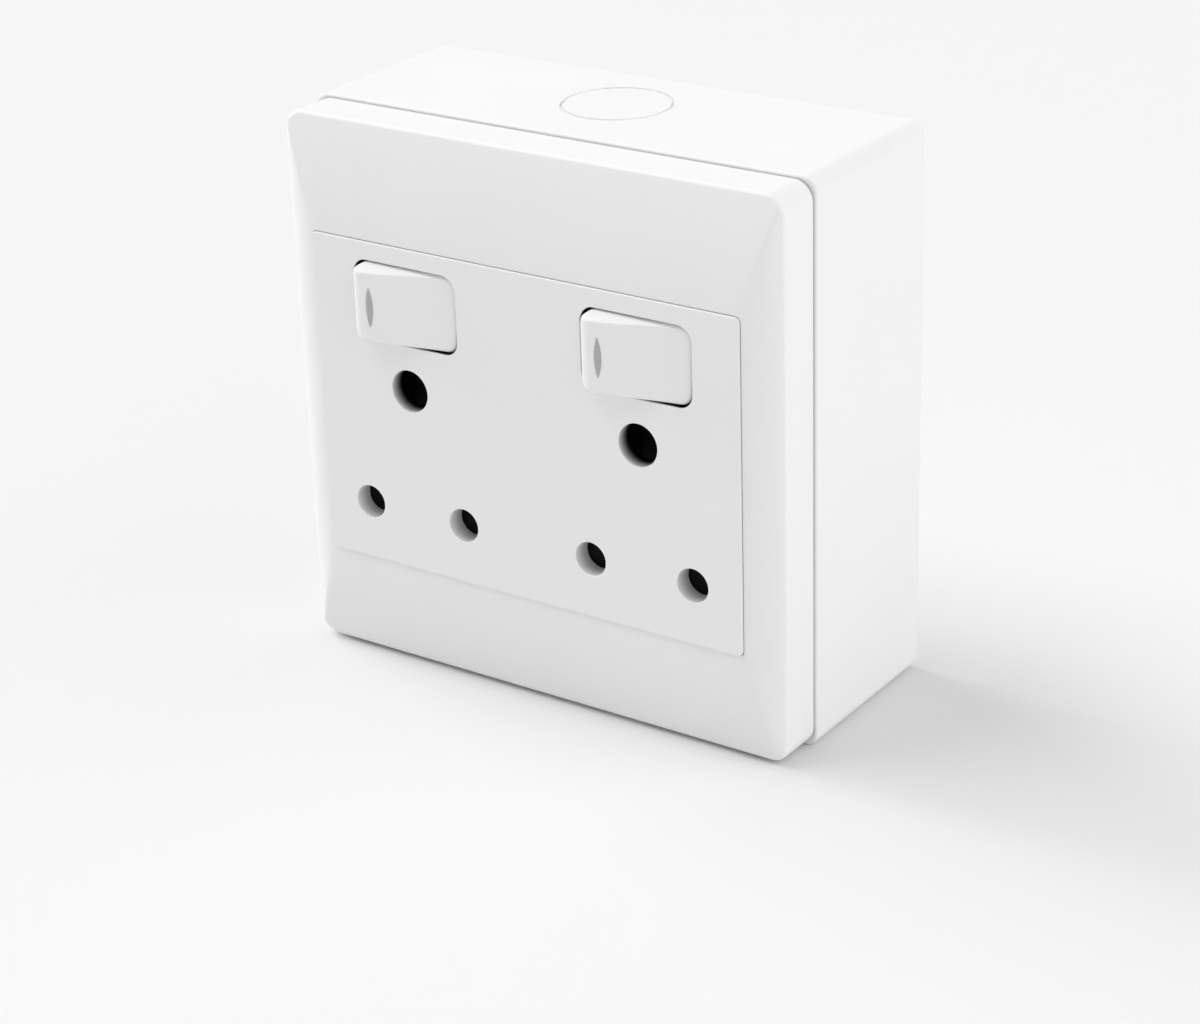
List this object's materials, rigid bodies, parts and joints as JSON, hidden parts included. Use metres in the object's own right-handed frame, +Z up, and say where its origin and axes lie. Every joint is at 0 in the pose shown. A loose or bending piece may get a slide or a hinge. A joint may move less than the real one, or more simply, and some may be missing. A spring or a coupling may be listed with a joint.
{
  "type": "uk twin socket",
  "caption": "Surface-mounted round-pin outlet box with switches, indicators, pin shutters and a pillow-shaped cover.",
  "frame": {"origin": "centre of the box's back face, where it meets the wall", "axes": "+Y into the wall, so the front faces -Y; +Z up; +X to the right seen from the front"},
  "size_m": [0.1254, 0.0604, 0.1254],
  "materials": {
    "white_moulding": "satin gloss moulded",
    "grey_moulding": "matt moulded",
    "base_moulding": "matt moulded",
    "steel": "plated",
    "brass_strip": "pressed strip",
    "lens": "smoked translucent",
    "plunger": "natural moulded",
    "shutter": "black moulded",
    "lamp_glass": "clear glass"
  },
  "bodies": {
    "socket": {"back_box": "white_moulding", "mounting_frame": "grey_moulding", "frame_screws": "steel", "cover_plate": "white_moulding", "socket_front": "white_moulding", "socket_base": "base_moulding", "base_screws": "steel", "live_feed_bar": "brass_strip", "live_contact_left": "brass_strip", "live_contact_right": "brass_strip", "neutral_bar": "brass_strip", "earth_bar": "brass_strip", "terminal_screws": "steel", "neon_lamp_left": "lamp_glass", "neon_lamp_right": "lamp_glass", "shutter_spring_left": "steel", "shutter_spring_right": "steel"},
    "rocker_left": {"rocker_left": "white_moulding", "indicator_lens_left": "lens", "plunger_left": "plunger", "plunger_spring_left": "steel"},
    "moving_contact_left": {"moving_contact_left": "brass_strip"},
    "shutter_left": {"shutter_left": "shutter"},
    "rocker_right": {"rocker_right": "white_moulding", "indicator_lens_right": "lens", "plunger_right": "plunger", "plunger_spring_right": "steel"},
    "moving_contact_right": {"moving_contact_right": "brass_strip"},
    "shutter_right": {"shutter_right": "shutter"}
  },
  "joints": [
    {"name": "rocker_left_tilt", "type": "hinge", "parent": "socket", "child": "rocker_left", "pos_m": [-0.0293, -0.0552, 0.0241], "axis": [0, 0, 1], "range_deg": [-12, 0]},
    {"name": "contact_left_tilt", "type": "hinge", "parent": "socket", "child": "moving_contact_left", "pos_m": [-0.0293, -0.0431, 0.0241], "axis": [0, 0, 1], "range_deg": [0, 16]},
    {"name": "shutter_left_slide", "type": "slide", "parent": "socket", "child": "shutter_left", "axis": [0, 0, -1], "range_m": [0, 0.0082], "stiffness_N_per_m": 60, "springref_m": -0.004, "deforming": ["shutter_spring_left"]},
    {"name": "rocker_right_tilt", "type": "hinge", "parent": "socket", "child": "rocker_right", "pos_m": [0.0293, -0.0552, 0.0241], "axis": [0, 0, 1], "range_deg": [-12, 0]},
    {"name": "contact_right_tilt", "type": "hinge", "parent": "socket", "child": "moving_contact_right", "pos_m": [0.0293, -0.0431, 0.0241], "axis": [0, 0, 1], "range_deg": [0, 16]},
    {"name": "shutter_right_slide", "type": "slide", "parent": "socket", "child": "shutter_right", "axis": [0, 0, -1], "range_m": [0, 0.0082], "stiffness_N_per_m": 60, "springref_m": -0.004, "deforming": ["shutter_spring_right"]}
  ],
  "couplings": [
    {"joint": "contact_left_tilt", "follows": "rocker_left_tilt", "ratio": -1.3333},
    {"joint": "contact_right_tilt", "follows": "rocker_right_tilt", "ratio": -1.3333}
  ]
}
